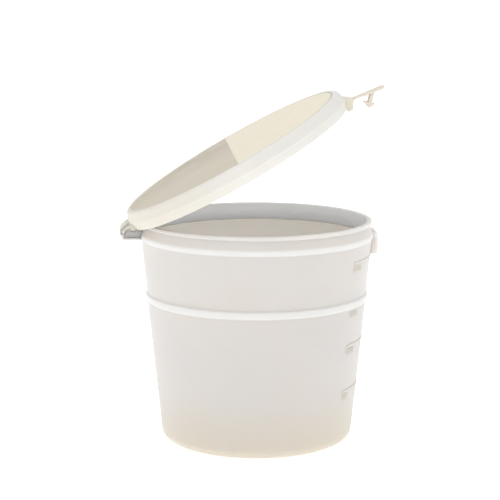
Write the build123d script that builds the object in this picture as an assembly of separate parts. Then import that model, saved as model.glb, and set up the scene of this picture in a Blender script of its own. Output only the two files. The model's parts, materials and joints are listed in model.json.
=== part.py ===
from build123d import *

import math
import os

# Wide-mouth urine collecting jar with a hinged snap lid and a fold-down clasp.
#
# Units are millimetres and +Z is up. The origin is the centre of the jar's foot, on the surface that it
# stands on. +X points from the jar's axis to the clasp, and -X to the lid's hinge. The lid and the clasp are
# drawn closed and straight, then turned to rest: the lid stands open by lid_open, and the clasp hangs
# clasp_droop below the lid's plane. Heights called "drop" are measured down from the top of the jar's lip.

# ---- Jar ----
jar_height = 154.0
lip_radius = 80.0
lip_depth = 2.9
lip_width = 3.4
lip_round = 0.9
neck_inset = 1.6
wall = 2.1
floor = 2.2
draft = 5.75
base_corner = 6.5
recess_radius = 40.0
recess_depth = 3.8
recess_slope = 1.0
foot_round = 0.8

# ---- Beads on the wall ----
shoulder_proud = 0.3
bead_drop = 11.0
bead_height = 4.6
bead_flat = 0.92
bead_proud = 0.6
ledge_drop = 11.5
ledge_proud = 0.6
ledge_cove = 5.0
ledge_slope = 1.2
rib_height = 100.9
rib_width = 6.0
rib_flat = 1.76
rib_proud = 0.8
rib_step = 0.5
bead_round = 0.7

# ---- Graduations ----
mark_volume = 500e3
marks = 4
rib_mark = 3
mark_start = -38.0
mark_sweep = 30.0
mark_width = 1.3
mark_relief = 0.35
digit_height = 3.8
digit_width = 2.1
digit_gap = 0.75
digit_stroke = 0.6
digit_drop = 1.5
digit_angle = -34.0
digit_bend = 0.9
digit_bowl = 0.5
level_halvings = 40

# ---- Lid ----
lid_open = 29.6
lid_seat = 0.3
lid_plate = 2.2
lid_round = 2.6
skirt_gap = 1.5
skirt_wall = 1.7
skirt_drop = 10.8
skirt_flare = 0.5
skirt_root_round = 0.6
skirt_round = 0.4
flange_drop = 4.4
flange_width = 1.4
flange_reach = 2.4
flange_step = 0.6
flange_round = 0.42
snap_gap = 0.35
snap_drop = 3.3
snap_width = 1.4
snap_rise = 0.42
snap_crest = 0.28
snap_round = 0.3
rim_groove = 0.6
rim_groove_width = 1.2
rim_groove_floor = 0.48
groove_round = 0.15
brink_round = 0.2
rim_inset = 3.4
panel_margin = 0.3
panel_recess = 0.8
panel_thickness = 0.4
panel_gap = 0.3
panel_bevel = 1.6
plug_gap = 0.6
plug_taper = 1.0
plug_wall = 1.4
plug_draft = 0.3
plug_round = 0.28
plug_depth = 2.2

# ---- Hinge ----
hinge_reach = 11.2
hinge_drop = 8.6
hinge_width = 22.0
strap = 1.6
strap_root = 15.5
strap_clearance = 0.4
strap_cheek = 1.2
strap_bend = 3.7
strap_fall = 1.2
riser = 1.0
film_radius = 0.6
film_gap = 0.12
tip_heel = 0.6
tip_crown = 1.3
tip_toe = 1.1

# ---- Clasp ----
clasp_reach = 7.3
clasp_droop = 7.5
clasp_width = 11.0
clasp_length = 23.2
clasp_thickness = 1.6
clasp_raise = 0.35
clasp_neck = 7.0
clasp_swell = 1.4
clasp_neck_thickness = 0.95
clasp_end_round = 3.0
barb_place = 14.6
barb_lean = 34.0
barb_root = 0.3
barb_length = 11.4
barb_width = 8.4
barb_stem = 2.4
barb_head = 3.4
barb_reach_low = 3.2
barb_reach_high = 4.2
barb_shoulder = 0.6
barb_tip = 1.0

# ---- Catch loop on the jar, and the hood over it on the lid ----
loop_reach = 4.3
loop_width = 16.0
loop_drop = 8.5
loop_bar = 1.7
loop_chamfer = 1.6
window_gap = 1.0
window_play = 0.35
window_top = 12.5
hood_gap = 0.65
hood_wall = 1.6
hood_drop = 13.7
hood_head = 1.0
hood_lip = 0.4
hood_brow = 1.4

# ---- Small chamfer on outside corners, and a length longer than any cut ----
ease = 0.6
beyond = 5.0

# ---- Values worked out from those above ----
slope = math.tan(math.radians(draft))
mouth_radius = lip_radius - lip_width
neck_radius = lip_radius - neck_inset
shoulder_radius = lip_radius + shoulder_proud
bead_height_z = jar_height - bead_drop
ledge_height = jar_height - ledge_drop
skirt_inner = lip_radius + skirt_gap
skirt_outer = skirt_inner + skirt_wall
lid_under = jar_height + lid_seat
lid_top = lid_under + lid_plate
hinge_x = -(skirt_outer + hinge_reach)
hinge_z = jar_height - hinge_drop
clasp_x = skirt_outer + clasp_reach
clasp_z = hinge_z
loop_face = lip_radius + loop_reach
hinge_line = Axis((hinge_x, 0, hinge_z), (0, -1, 0))
clasp_line = Axis((clasp_x, 0, clasp_z), (0, 1, 0))


def upper_radius(z):
    """Outside radius of the wall above the rib, which widens by the draft."""
    return shoulder_radius - slope * (bead_height_z - z)


def lower_radius(z):
    """Outside radius of the wall below the rib, a small step wider than the wall above it."""
    return upper_radius(z) + rib_step


def turned(points, radii):
    """A solid turned about Z from a closed outline of (radius, height) points with rounded corners."""
    outline = FilletPolyline(*[(r, 0, z) for r, z in points], radius=radii, close=True)
    return revolve(make_face(outline), Axis.Z)


def slab(points, width, x=0.0, z=0.0):
    """A plate of the given width across Y from an outline of (x, z) points placed at x, z."""
    outline = Polyline(*[(x + px, 0, z + pz) for px, pz in points], close=True)
    return extrude(make_face(outline), width / 2, dir=(0, 1, 0), both=True)


def rod(radius, width, x, z):
    """A round rod along Y, centred on the XZ plane."""
    return Location((x, 0, z), (90, 0, 0)) * Cylinder(radius, width)


def block(x_low, x_high, width, z_low, z_high):
    """A box centred across Y between the given X and Z limits."""
    middle = ((x_low + x_high) / 2, 0, (z_low + z_high) / 2)
    return Location(middle) * Box(x_high - x_low, width, z_high - z_low)


# ---- Jar ----
def jar_envelope():
    """The tub as if it were filled: foot, drafted walls with a rib between, shoulder bead, neck and lip."""
    rib_low = rib_height - rib_width / 2
    rib_high = rib_height + rib_width / 2
    rib_radius = lower_radius(rib_height) + rib_proud
    bead_low = bead_height_z - bead_height / 2
    bead_radius = shoulder_radius + bead_proud
    outline = [
        ((0, recess_depth), 0),
        ((recess_radius - recess_slope, recess_depth), foot_round),
        ((recess_radius, 0), foot_round),
        ((lower_radius(0), 0), base_corner),
        ((lower_radius(rib_low), rib_low), bead_round),
        ((rib_radius, rib_height - rib_flat), bead_round),
        ((rib_radius, rib_height + rib_flat), bead_round),
        ((upper_radius(rib_high), rib_high), bead_round),
        ((upper_radius(bead_low), bead_low), bead_round),
        ((bead_radius, bead_height_z - bead_flat), bead_round),
        ((bead_radius, bead_height_z + bead_flat), bead_round),
        ((neck_radius, jar_height - lip_depth), lip_round / 2),
        ((lip_radius, jar_height - lip_depth + lip_round / 2), lip_round / 2),
        ((lip_radius, jar_height), lip_round),
        ((0, jar_height), 0),
    ]
    return turned([point for point, _ in outline], [radius for _, radius in outline])


def jar_bore():
    """The space inside the tub: mouth, a ledge under the neck, drafted bore and raised floor."""
    rib_low = rib_height - rib_width / 2
    rib_high = rib_height + rib_width / 2
    under_ledge = ledge_height - ledge_slope
    flare = mouth_radius + lip_round
    outline = [
        ((0, recess_depth + floor), 0),
        ((recess_radius + recess_slope, recess_depth + floor), recess_slope),
        ((recess_radius + 2 * recess_slope, floor), recess_slope),
        ((lower_radius(floor) - wall, floor), base_corner - wall),
        ((lower_radius(rib_low) - wall, rib_low), wall),
        ((upper_radius(rib_high) - wall, rib_high), wall),
        ((upper_radius(under_ledge) - wall, under_ledge), lip_round / 2),
        ((mouth_radius - ledge_proud, ledge_height), lip_round / 2),
        ((mouth_radius, ledge_height + ledge_cove), ledge_cove),
        ((mouth_radius, jar_height - lip_round), lip_round),
        ((flare, jar_height), 0),
        ((0, jar_height), 0),
    ]
    return turned([point for point, _ in outline], [radius for _, radius in outline])


def jar_body():
    """Thin-walled tub, the envelope less its bore."""
    return jar_envelope() - jar_bore()


def held_below(z):
    """Volume of liquid below a height, from the drafted bore less the raised middle of the floor."""

    def cone(low, high, radius):
        return math.pi / (3 * slope) * (radius(high) ** 3 - radius(low) ** 3)

    def lower_bore(height):
        return lower_radius(height) - wall

    def upper_bore(height):
        return upper_radius(height) - wall

    raised = math.pi * (recess_radius + 1.5 * recess_slope) ** 2 * recess_depth
    volume = cone(floor, min(z, rib_height), lower_bore) - raised
    if z > rib_height:
        volume += cone(rib_height, z, upper_bore)
    return volume


def level_of(volume):
    """Height of the liquid's surface for a volume, by halving the span it lies in."""
    low, high = recess_depth + floor, jar_height
    for _ in range(level_halvings):
        middle = (low + high) / 2
        if held_below(middle) < volume:
            low = middle
        else:
            high = middle
    return low


def wall_radius(z):
    """Outside radius of the plain wall at a height."""
    return lower_radius(z) if z < rib_height else upper_radius(z)


def wall_skin(z_low, z_high, relief, start, sweep):
    """A thin raised skin on the drafted wall over a sweep about Z."""
    low, high = wall_radius(z_low), wall_radius(z_high)
    corners = [(low, z_low), (low + relief, z_low), (high + relief, z_high), (high, z_high)]
    outline = Polyline(*[(r, 0, z) for r, z in corners], close=True)
    return Rot(0, 0, start) * revolve(make_face(outline), Axis.Z, revolution_arc=sweep)


def mark_levels():
    """Height of each marked volume, by the mark's number."""
    return {n: level_of(n * mark_volume) for n in range(1, marks + 1)}


def graduation_bars():
    """Raised bars on the wall at the marked volumes."""
    half = mark_width / 2
    levels = [z for n, z in mark_levels().items() if n != rib_mark]
    return [wall_skin(z - half, z + half, mark_relief, mark_start, mark_sweep) for z in levels]


def digit_strokes(digit):
    """The strokes of one numeral as lines about its middle."""
    w, h = (digit_width - digit_stroke) / 2, (digit_height - digit_stroke) / 2
    bowl = h * digit_bowl
    bend = w * digit_bend
    if digit == "0":
        return FilletPolyline((w, h), (-w, h), (-w, -h), (w, -h), radius=bend, close=True)
    if digit == "1":
        return Polyline((-w, bowl), (0, h), (0, -h))
    if digit == "2":
        bends = [bend, bend, bowl * digit_bowl, 0]
        return FilletPolyline((-w, bowl), (-w, h), (w, h), (w, 0), (-w, -h), (w, -h), radius=bends)
    return FilletPolyline((w, h), (-w, h), (-w, 0), (w, 0), (w, -h), (-w, -h), radius=[0, 0, bend, bend])


def numeral_solids(text, z_top):
    """Raised numerals that follow the wall below a mark."""
    pitch = digit_width + digit_gap
    z_middle = z_top - digit_height / 2
    z_low, start = z_top - digit_height - ease, digit_angle - mark_sweep / 2
    skin = wall_skin(z_low, z_top + ease, mark_relief, start, mark_sweep)
    turn = math.radians(digit_angle)
    out = Vector(math.cos(turn), math.sin(turn), 0)
    across = Vector(-math.sin(turn), math.cos(turn), 0)
    middle = out * wall_radius(z_middle) + Vector(0, 0, z_middle)
    plane = Plane(origin=middle, x_dir=across, z_dir=out)
    solids = []
    for place, digit in enumerate(text):
        shift = (place - (len(text) - 1) / 2) * pitch
        shape = trace(digit_strokes(digit), digit_stroke)
        cutter = extrude(plane * Pos(shift, 0, 0) * shape, beyond, both=True)
        solids += (skin & cutter).solids()
    return solids


def graduation_numerals():
    """A numeral below each marked volume."""
    solids = []
    for n, z in mark_levels().items():
        text = str(round(n * mark_volume / 1000))
        below = rib_height - rib_width / 2 if n == rib_mark else z - mark_width / 2
        solids += numeral_solids(text, below - digit_drop)
    return solids


def jar_hinge_strap(envelope):
    """Flat strap from the jar's shoulder out to the living hinge, turned up at its end."""
    high = hinge_drop - skirt_drop - strap_clearance
    low = high - strap
    near, far = film_radius / 2, film_radius + strap_clearance
    outline = [
        (strap_root, low), (far + ease, low), (far, low + ease), (near, -near * 5 / 3),
        (far, -near), (far + riser, high - ease / 2), (far + riser + ease, high), (strap_root, high),
    ]
    plate = slab(outline, hinge_width, hinge_x, hinge_z)
    return plate - envelope - hinge_film()


def hinge_film():
    """The living hinge, a thin round web along the hinge line."""
    return rod(film_radius, hinge_width, hinge_x, hinge_z)


def loop_window():
    """The opening in the catch loop that the clasp's barb swings into."""
    reach = clasp_x - loop_face
    base_x, base_z = barb_point(barb_length - barb_head, -barb_reach_low)
    low_radius = math.hypot(base_x, base_z)
    low = clasp_z - math.sqrt(low_radius**2 - reach**2) - window_play
    return low, jar_height - window_top


def catch_loop(envelope):
    """Loop on the jar's shoulder: two cheeks, a top and a bottom bar round the window for the barb."""
    low, high = loop_window()
    root = mouth_radius + ease
    top, bottom = jar_height - loop_drop, low - loop_bar
    outline = [
        (root, bottom), (loop_face - loop_chamfer / 2, bottom), (loop_face, bottom + loop_chamfer / 2),
        (loop_face, top - loop_chamfer), (loop_face - loop_chamfer, top), (root, top),
    ]
    window = block(root - beyond, loop_face + beyond, barb_width + 2 * window_gap, low, high)
    return slab(outline, loop_width) - window - envelope


# ---- Lid, drawn closed ----
def lid_turned():
    """The lid's plate and skirt as turned, before the panel recess and the catch's notch."""
    rim = skirt_outer - rim_inset
    groove_side = (rim_groove_width - rim_groove_floor) / 2
    flange_radius = skirt_outer + flange_reach
    flange_high = jar_height - flange_drop
    flange_low = flange_high - flange_width
    bottom = jar_height - skirt_drop
    snap = lip_radius + snap_gap
    snap_high = jar_height - snap_drop
    outline = [
        ((0, lid_under), 0),
        ((skirt_inner, lid_under), skirt_root_round),
        ((skirt_inner, snap_high), brink_round),
        ((snap, snap_high - snap_rise), snap_round),
        ((snap, snap_high - snap_rise - snap_crest), snap_round),
        ((skirt_inner, snap_high - snap_width), brink_round),
        ((skirt_inner, bottom), skirt_round),
        ((skirt_outer + skirt_flare, bottom), skirt_round),
        ((flange_radius - flange_step, flange_low), 0),
        ((flange_radius, flange_low), flange_round),
        ((flange_radius, flange_high), flange_round),
        ((skirt_outer, lid_top), lid_round),
        ((rim, lid_top), brink_round),
        ((rim - groove_side, lid_top - rim_groove), groove_round),
        ((rim - groove_side - rim_groove_floor, lid_top - rim_groove), groove_round),
        ((rim - rim_groove_width, lid_top), brink_round),
        ((0, lid_top), 0),
    ]
    return turned([point for point, _ in outline], [radius for _, radius in outline])


def half_disc(radius, z_low, z_high, edge):
    """A half disc on the hinge side, its straight edge at x = edge."""
    disc = Location((0, 0, (z_low + z_high) / 2)) * Cylinder(radius, z_high - z_low)
    return disc & block(-2 * radius, edge, 4 * radius, z_low, z_high)


def panel_radius():
    """Radius of the recess for the writing panel, just inside the rim groove."""
    return skirt_outer - rim_inset - rim_groove_width - panel_margin


def panel_recess_cut():
    """The sunk half of the lid's top, with a bevel along its straight edge."""
    floor_z, high = lid_top - panel_recess, lid_top + panel_recess
    radius = panel_radius()
    bevel = slab([(0, floor_z), (0, high), (2 * panel_bevel, high)], 4 * radius)
    disc = Location((0, 0, lid_top)) * Cylinder(radius, 2 * panel_recess)
    return half_disc(radius, floor_z, high, 0) + (bevel & disc)


def hood_hollow():
    """The space under the hood that the catch loop fills when the lid is closed."""
    top = jar_height - loop_drop + hood_head
    bottom = jar_height - hood_drop - beyond
    return block(skirt_inner - beyond, loop_face + hood_gap, loop_width + 2 * hood_gap, bottom, top)


def lid_shell():
    """The lid's plate, rounded rim, stiffening flange and skirt, in one."""
    return lid_turned() - panel_recess_cut() - hood_hollow()


def lid_plate(shell):
    """The shell's flat disc, out to the edge of the writing panel's recess."""
    return shell & Cylinder(panel_radius(), 4 * jar_height)


def lid_skirt(shell):
    """The shell's ring outside the disc: groove, rounded rim, flange and skirt."""
    return shell - Cylinder(panel_radius(), 4 * jar_height)


def writing_panel():
    """Matt half-disc panel laid in the sunk half of the lid's top."""
    floor_z = lid_top - panel_recess
    return half_disc(panel_radius() - panel_gap, floor_z, floor_z + panel_thickness, -panel_gap)


def plug_ring():
    """Shallow tapered ring under the lid that centres it in the mouth."""
    outer = mouth_radius - plug_gap
    inner = outer - plug_wall - plug_draft
    bottom = jar_height - plug_depth
    outline = [
        (inner, lid_under), (inner, bottom), (outer - plug_taper, bottom), (outer, lid_under),
    ]
    return turned(outline, [0, plug_round, plug_round, 0])


def lid_hinge_strap():
    """Strap from the lid's flange, bent down to the living hinge and stiffened by a cheek at each end."""
    high = hinge_drop - flange_drop
    low = high - strap
    root = hinge_reach + skirt_wall / 2
    clear = film_radius + film_gap
    tip_back, tip_front = (-clear * tip_heel, clear * tip_crown), (clear, clear * tip_toe)
    bend_out, bend_in = strap_bend + strap_fall * 1.5, strap_bend + strap_fall * 2
    top = [(root, high), (bend_out, high), (strap_bend - strap, high - strap_fall), tip_back, tip_front]
    under = [(strap_bend - ease, low - strap_fall / 2), (bend_in, low), (root, low)]
    side = top + [(root, tip_front[1])]
    plate = slab(top + under, hinge_width, hinge_x, hinge_z)
    cheeks = slab(side, hinge_width, hinge_x, hinge_z)
    between = slab(side, hinge_width - 2 * strap_cheek, hinge_x, hinge_z)
    return plate + (cheeks - between) - lid_turned()


def clasp_hood():
    """Hood at the lid's free end that covers the catch loop and carries the clasp's living hinge."""
    flange_high = jar_height - flange_drop
    inner = skirt_outer - skirt_wall / 2
    bottom = jar_height - hood_drop
    face = loop_face + hood_gap + hood_wall
    under_film = clasp_x - film_radius
    outline = [
        (inner, flange_high), (skirt_outer + flange_reach, flange_high), (clasp_x, clasp_z + hood_lip),
        (under_film, clasp_z - film_radius / 2), (under_film - hood_brow, clasp_z - hood_brow),
        (face + ease, bottom + ease), (face, bottom), (inner, bottom),
    ]
    width = loop_width + 2 * hood_gap + 2 * hood_wall
    hood = slab(outline, width) - hood_hollow() - lid_turned()
    jar_side = Cylinder(skirt_outer, 4 * jar_height)
    return hood - jar_side - clasp_film()


def clasp_film():
    """The clasp's living hinge, a thin round web."""
    return rod(film_radius, clasp_width, clasp_x, clasp_z)


# ---- Clasp, drawn straight out from its hinge ----
def barb_point(along, side):
    """Offset from the clasp's hinge of a place along the barb's axis from the arm and to its high side."""
    lean = math.radians(barb_lean)
    x = barb_place - along * math.sin(lean) - side * math.cos(lean)
    z = -along * math.cos(lean) + side * math.sin(lean)
    return x, z


def clasp_arm():
    """Finger tab: a thin neck at the hinge and a thicker arm with a rounded end."""
    root = film_radius + film_gap
    neck = clasp_neck_thickness / 2
    top = clasp_thickness * clasp_raise
    low = top - clasp_thickness
    thin_end, thick_start = clasp_neck - clasp_swell / 2, clasp_neck + clasp_swell / 2
    outline = [
        (root, neck), (thin_end, neck), (thick_start, top), (clasp_length, top),
        (clasp_length, low), (thick_start, low), (thin_end, -neck), (root, -neck),
    ]
    arm = slab(outline, clasp_width, clasp_x, clasp_z)
    end_x = clasp_x + clasp_length
    ends = [edge for edge in arm.edges().filter_by(Axis.Z) if edge.center().X > end_x - clasp_swell / 2]
    return fillet(ends, clasp_end_round)


def clasp_barb():
    """Arrow-shaped barb under the arm, leaning back along the arc that it swings through."""
    half, tip = barb_stem / 2, barb_tip / 2
    shoulder = barb_length - barb_head
    brow = shoulder + barb_shoulder
    outline = [
        barb_point(barb_root, half), barb_point(shoulder, half), barb_point(shoulder, barb_reach_high),
        barb_point(brow, barb_reach_high), barb_point(barb_length, tip), barb_point(barb_length, -tip),
        barb_point(brow, -barb_reach_low), barb_point(shoulder, -barb_reach_low),
        barb_point(shoulder, -half), barb_point(barb_root, -half),
    ]
    return slab(outline, barb_width, clasp_x, clasp_z) - clasp_arm()


# ---- Rest pose and files ----
def opened(shape):
    """Turns a closed lid piece to its rest pose about the hinge line."""
    return shape.rotate(hinge_line, lid_open)


def drooped(shape):
    """Turns a straight clasp piece to its rest pose, on the open lid."""
    return opened(shape.rotate(clasp_line, clasp_droop))


def save(name, shape):
    """Writes one node's solids to its STEP file."""
    solids = shape if isinstance(shape, list) else shape.solids()
    export_step(Compound(children=list(solids)) if len(solids) > 1 else solids[0], f"parts/{name}.step")


def main():
    """Builds every node and writes it."""
    os.makedirs("parts", exist_ok=True)
    envelope = jar_envelope()
    save("jar_body", jar_body())
    save("graduation_bars", [s for bar in graduation_bars() for s in bar.solids()])
    save("graduation_numerals", graduation_numerals())
    save("jar_hinge_strap", jar_hinge_strap(envelope))
    save("hinge_film", hinge_film())
    save("catch_loop", catch_loop(envelope))
    shell = lid_shell()
    save("lid_plate", opened(lid_plate(shell)))
    save("lid_skirt", opened(lid_skirt(shell)))
    save("writing_panel", opened(writing_panel()))
    save("plug_ring", opened(plug_ring()))
    save("lid_hinge_strap", opened(lid_hinge_strap()))
    save("clasp_hood", opened(clasp_hood()))
    save("clasp_film", opened(clasp_film()))
    save("clasp_arm", drooped(clasp_arm()))
    save("clasp_barb", drooped(clasp_barb()))


main()
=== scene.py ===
"""A translucent urine collecting jar on a white table: a drafted tub, a hinged snap lid and a fold-down clasp."""

import json
import logging
import math
from collections.abc import Sequence
from dataclasses import dataclass, field
from enum import Enum

import bpy
import numpy as np
from mathutils import Matrix, Vector


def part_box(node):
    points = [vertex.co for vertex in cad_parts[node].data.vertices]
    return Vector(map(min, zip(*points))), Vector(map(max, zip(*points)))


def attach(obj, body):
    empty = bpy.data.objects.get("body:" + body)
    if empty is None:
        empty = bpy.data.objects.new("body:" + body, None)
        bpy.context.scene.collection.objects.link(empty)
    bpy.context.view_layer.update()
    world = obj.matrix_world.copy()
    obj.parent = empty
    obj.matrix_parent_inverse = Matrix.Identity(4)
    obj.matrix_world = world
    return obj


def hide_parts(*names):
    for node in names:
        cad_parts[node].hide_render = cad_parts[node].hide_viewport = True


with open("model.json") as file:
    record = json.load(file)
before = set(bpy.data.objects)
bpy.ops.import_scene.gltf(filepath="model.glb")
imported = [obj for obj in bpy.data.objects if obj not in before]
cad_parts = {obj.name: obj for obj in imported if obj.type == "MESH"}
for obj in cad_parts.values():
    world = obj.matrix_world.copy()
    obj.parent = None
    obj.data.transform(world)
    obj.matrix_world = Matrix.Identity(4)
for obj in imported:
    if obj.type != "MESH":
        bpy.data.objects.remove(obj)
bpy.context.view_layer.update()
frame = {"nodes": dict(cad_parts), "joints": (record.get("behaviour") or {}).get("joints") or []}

log = logging.getLogger("collecting_jar")

MM = 0.001
AROUND = 384
CORNER_STEPS = 6
END_ROWS = 5
SAME_POINT = 1e-6
THINNEST = 0.02

Triple = tuple[float, float, float]
Rgb = tuple[int, int, int]
Span = tuple[float, float]


class Body(Enum):
    """The three things that move against each other."""

    JAR = "jar"
    LID = "lid"
    CLASP = "clasp"


class Slot(Enum):
    """The record's material slots."""

    JAR = "jar_natural"
    LID = "lid_natural"
    PANEL = "panel_matt"


# ---- Surfaces ----


def rounded_chain(corners: Sequence[Triple], longest: float = 8.0) -> np.ndarray:
    """An open outline whose inner corners are arcs.

    Each corner of radius r is trimmed by r / tan(half its angle) along both runs, and the arc's points are
    the great-circle blend of its first and last spokes. Runs longer than a limit get evenly spaced points.

    Args:
        corners: (radius, height, corner radius) for each point of the outline, in millimetres.
        longest: The longest run allowed between two points, in millimetres.

    Returns:
        The outline's points as an (n, 2) array.
    """
    table = np.array(corners, float)
    points, radii = table[:, :2], table[1:-1, 2]
    before = points[:-2] - points[1:-1]
    after = points[2:] - points[1:-1]
    before /= np.linalg.norm(before, axis=1, keepdims=True)
    after /= np.linalg.norm(after, axis=1, keepdims=True)
    half = np.arccos(np.clip((before * after).sum(1), -1, 1)) / 2
    trim = radii / np.tan(half)
    bisector = before + after
    bisector /= np.linalg.norm(bisector, axis=1, keepdims=True)
    centre = points[1:-1] + bisector * (radii / np.sin(half))[:, None]
    first = points[1:-1] + before * trim[:, None] - centre
    last = points[1:-1] + after * trim[:, None] - centre
    sweep = (math.pi - 2 * half)[:, None, None]
    step = np.linspace(0, 1, CORNER_STEPS)[None, :, None]
    spokes = first[:, None] * np.sin((1 - step) * sweep) + last[:, None] * np.sin(step * sweep)
    arcs = centre[:, None] + spokes / np.sin(sweep)
    chain = np.vstack([points[:1], arcs.reshape(-1, 2), points[-1:]])
    apart = np.linalg.norm(np.diff(chain, axis=0), axis=1)
    chain = chain[np.concatenate([[True], apart > SAME_POINT])]
    along = np.concatenate([[0], np.cumsum(np.linalg.norm(np.diff(chain, axis=0), axis=1))])
    marks = np.arange(0, along[-1], longest)
    gap = np.abs(marks[:, None] - along[None]).min(1)
    places = np.sort(np.concatenate([along, marks[gap > longest / 3]]))
    return np.stack([np.interp(places, along, chain[:, 0]), np.interp(places, along, chain[:, 1])], 1)


def turned(profile: np.ndarray) -> np.ndarray:
    """A surface of revolution: each profile point (r, z) goes to (r cos a, r sin a, z) for a full turn of a.

    Args:
        profile: (n, 2) points, running so that the outside lies on their right.

    Returns:
        An (n, AROUND + 1, 3) grid of points.
    """
    angle = np.linspace(0, 2 * math.pi, AROUND + 1)
    radius, height = profile[:, 0, None], profile[:, 1, None]
    return np.stack([radius * np.cos(angle), radius * np.sin(angle), height + 0 * angle], 2)


def section(width: np.ndarray, thickness: np.ndarray, edge: float) -> tuple[np.ndarray, np.ndarray]:
    """Rounded rectangles, one for each station: corner centres pushed out by edge times (cos a, sin a).

    Args:
        width: Full width at each station.
        thickness: Full thickness at each station.
        edge: Radius of the four corners, less where the section is smaller.

    Returns:
        The across and up offsets, each (stations, points), closed on themselves.
    """
    quarter = np.linspace(0, math.pi / 2, END_ROWS)
    angle = (np.arange(4)[:, None] * math.pi / 2 + quarter[None]).ravel()
    side_across = np.repeat([1, -1, -1, 1], quarter.size)
    side_up = np.repeat([1, 1, -1, -1], quarter.size)
    radius = np.minimum(edge, np.minimum(width, thickness) / 2)[:, None]
    across = side_across * (width[:, None] / 2 - radius) + radius * np.cos(angle)
    up = side_up * (thickness[:, None] / 2 - radius) + radius * np.sin(angle)
    return np.hstack([across, across[:, :1]]), np.hstack([up, up[:, :1]])


def bar(path: np.ndarray, width: np.ndarray, thickness: np.ndarray, edge: float, end: float) -> np.ndarray:
    """A bar along a path in the XZ plane, with rounded edges and ends.

    Point (i, j) is the path's point i, plus the section's across part along Y and its up part along the
    path's normal. Each end runs on by end * sin(a) while its section shrinks by end * (1 - cos a), and then
    closes on its middle.

    Args:
        path: (n, 2) points of (x, z).
        width: Full width along Y at each point.
        thickness: Full thickness along the normal at each point.
        edge: Radius of the long edges.
        end: Radius of the end edges.

    Returns:
        A grid of points, closed at both ends.
    """
    tangent = np.gradient(path, axis=0)
    tangent /= np.linalg.norm(tangent, axis=1, keepdims=True)
    sink = np.linspace(math.pi / 2, 0, END_ROWS)[:-1]
    grow, shrink = end * np.sin(sink), end * (1 - np.cos(sink))
    start = path[0] - tangent[0] * grow[:, None]
    finish = path[-1] + tangent[-1] * grow[::-1, None]
    path = np.vstack([start[:1], start, path, finish, finish[-1:]])
    tangent = np.pad(tangent, ((END_ROWS, END_ROWS), (0, 0)), "edge")
    lose = np.concatenate([shrink[:1], shrink, 0 * width, shrink[::-1], shrink[:1]])
    width = np.maximum(np.pad(width, END_ROWS, "edge") - 2 * lose, THINNEST)
    thickness = np.maximum(np.pad(thickness, END_ROWS, "edge") - 2 * lose, THINNEST)
    across, up = section(width, thickness, edge)
    across[[0, -1]] = 0
    up[[0, -1]] = 0
    normal = np.stack([-tangent[:, 1], tangent[:, 0]], 1)
    place = path[:, None] + normal[:, None] * up[..., None]
    return np.stack([place[..., 0], across, place[..., 1]], 2)


def chords(radius: float, rows: int) -> tuple[np.ndarray, np.ndarray]:
    """A flat disc cut into chords across Y: x = R cos a and y = v R sin a for v from -1 to 1.

    Args:
        radius: The disc's radius.
        rows: Points on each chord.

    Returns:
        The x and y grids, (chords, rows), from high x to low x.
    """
    angle = np.linspace(0, math.pi, AROUND // 2 + 1)
    across = np.linspace(-1, 1, rows)
    x = radius * np.cos(angle)[:, None] + 0 * across
    y = radius * np.sin(angle)[:, None] * across
    return x, y


@dataclass
class Piece:
    """One mesh made of grids of points that share their borders."""

    name: str
    grids: list[np.ndarray] = field(default_factory=list)

    def add(self, grid: np.ndarray, flip: bool = False) -> "Piece":
        """Adds a (rows, columns, 3) grid, turned over if flip is set."""
        self.grids.append(grid[:, ::-1] if flip else grid)
        return self

    def moved(self, move: "Turn") -> "Piece":
        """Carries every grid through a turn."""
        self.grids = [move(grid) for grid in self.grids]
        return self

    def faces(self) -> tuple[np.ndarray, list[list[int]]]:
        """Welds the grids: points that round to the same tenth of a micron become one vertex.

        Returns:
            The vertices in metres, and the faces as vertex lists. A quad with two equal corners becomes a
            triangle, and one with fewer than three different corners is dropped.
        """
        loose, quads, start = [], [], 0
        for grid in self.grids:
            rows, columns = grid.shape[:2]
            index = start + np.arange(rows * columns).reshape(rows, columns)
            corners = [index[:-1, :-1], index[:-1, 1:], index[1:, 1:], index[1:, :-1]]
            quads.append(np.stack([corner.ravel() for corner in corners], 1))
            loose.append(grid.reshape(-1, 3))
            start += rows * columns
        points = np.vstack(loose)
        _, first, same = np.unique(np.round(points, 4), axis=0, return_index=True, return_inverse=True)
        quads = same.reshape(-1)[np.vstack(quads)]
        repeat = quads == np.roll(quads, -1, axis=1)
        whole = quads[repeat.sum(1) == 0]
        single = repeat.sum(1) == 1
        triangles = quads[single][~repeat[single]].reshape(-1, 3)
        return points[first] * MM, whole.tolist() + triangles.tolist()

    def build(self, sharp: float = 38.0) -> bpy.types.Object:
        """Puts the welded grids into a smooth-shaded object at the origin.

        Args:
            sharp: Edges that turn by more than this many degrees stay crisp.

        Returns:
            The new object, linked to the scene.
        """
        points, faces = self.faces()
        mesh = bpy.data.meshes.new(self.name)
        mesh.from_pydata(points, [], faces)
        mesh.validate()
        mesh.shade_smooth()
        mesh.set_sharp_from_angle(angle=math.radians(sharp))
        thing = bpy.data.objects.new(self.name, mesh)
        bpy.context.scene.collection.objects.link(thing)
        log.info("%s: %d vertices, %d faces", self.name, len(mesh.vertices), len(mesh.polygons))
        return thing


@dataclass(frozen=True)
class Turn:
    """A turn in the XZ plane about a hinge, counter-clockwise seen with X to the right."""

    pivot: Span
    degrees: float

    def __call__(self, grid: np.ndarray) -> np.ndarray:
        """Turns points: dx' = dx cos a - dz sin a and dz' = dx sin a + dz cos a."""
        cos, sin = math.cos(math.radians(self.degrees)), math.sin(math.radians(self.degrees))
        dx, dz = grid[..., 0] - self.pivot[0], grid[..., 2] - self.pivot[1]
        x = self.pivot[0] + dx * cos - dz * sin
        z = self.pivot[1] + dx * sin + dz * cos
        return np.stack([x, grid[..., 1], z], -1)


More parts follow.
